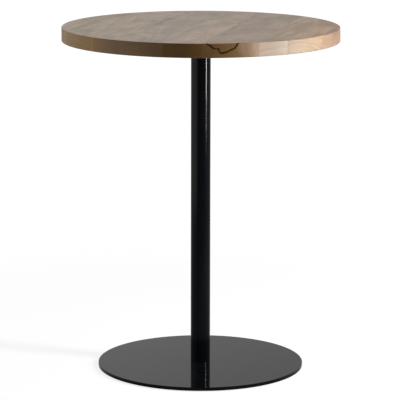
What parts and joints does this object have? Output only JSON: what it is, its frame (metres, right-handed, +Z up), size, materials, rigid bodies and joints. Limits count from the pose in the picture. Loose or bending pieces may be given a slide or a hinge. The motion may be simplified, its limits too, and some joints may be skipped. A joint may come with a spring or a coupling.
{
  "type": "bar table",
  "caption": "Round bar table with an edge-glued solid wood top bolted to a slim black steel column on a flat round steel base.",
  "frame": {"origin": "on the floor, under the centre of the column", "axes": "+Z up along the column, +Y along the boards of the top, towards the back, +X to the right"},
  "size_m": [0.8, 0.8, 1.002],
  "materials": {
    "wood": "satin lacquer",
    "black_powder_coat": "gloss",
    "zinc_steel": "bright zinc plated",
    "bare_steel": "mill",
    "pad_rubber": "matt"
  },
  "bodies": {
    "root": {"top_board_1": "wood", "top_board_2": "wood", "top_board_3": "wood", "top_board_4": "wood", "top_board_5": "wood", "top_board_6": "wood", "top_board_7": "wood", "top_board_8": "wood", "top_board_9": "wood", "mounting_cross": "black_powder_coat", "weld_beads": "black_powder_coat", "column_tube": "black_powder_coat", "base_plate": "black_powder_coat", "threaded_inserts": "zinc_steel", "cross_washers": "zinc_steel", "cross_screws": "zinc_steel", "foot_screws": "zinc_steel", "foot_plug": "bare_steel", "floor_pad_1": "pad_rubber", "floor_pad_2": "pad_rubber", "floor_pad_3": "pad_rubber", "floor_pad_4": "pad_rubber"}
  },
  "joints": []
}
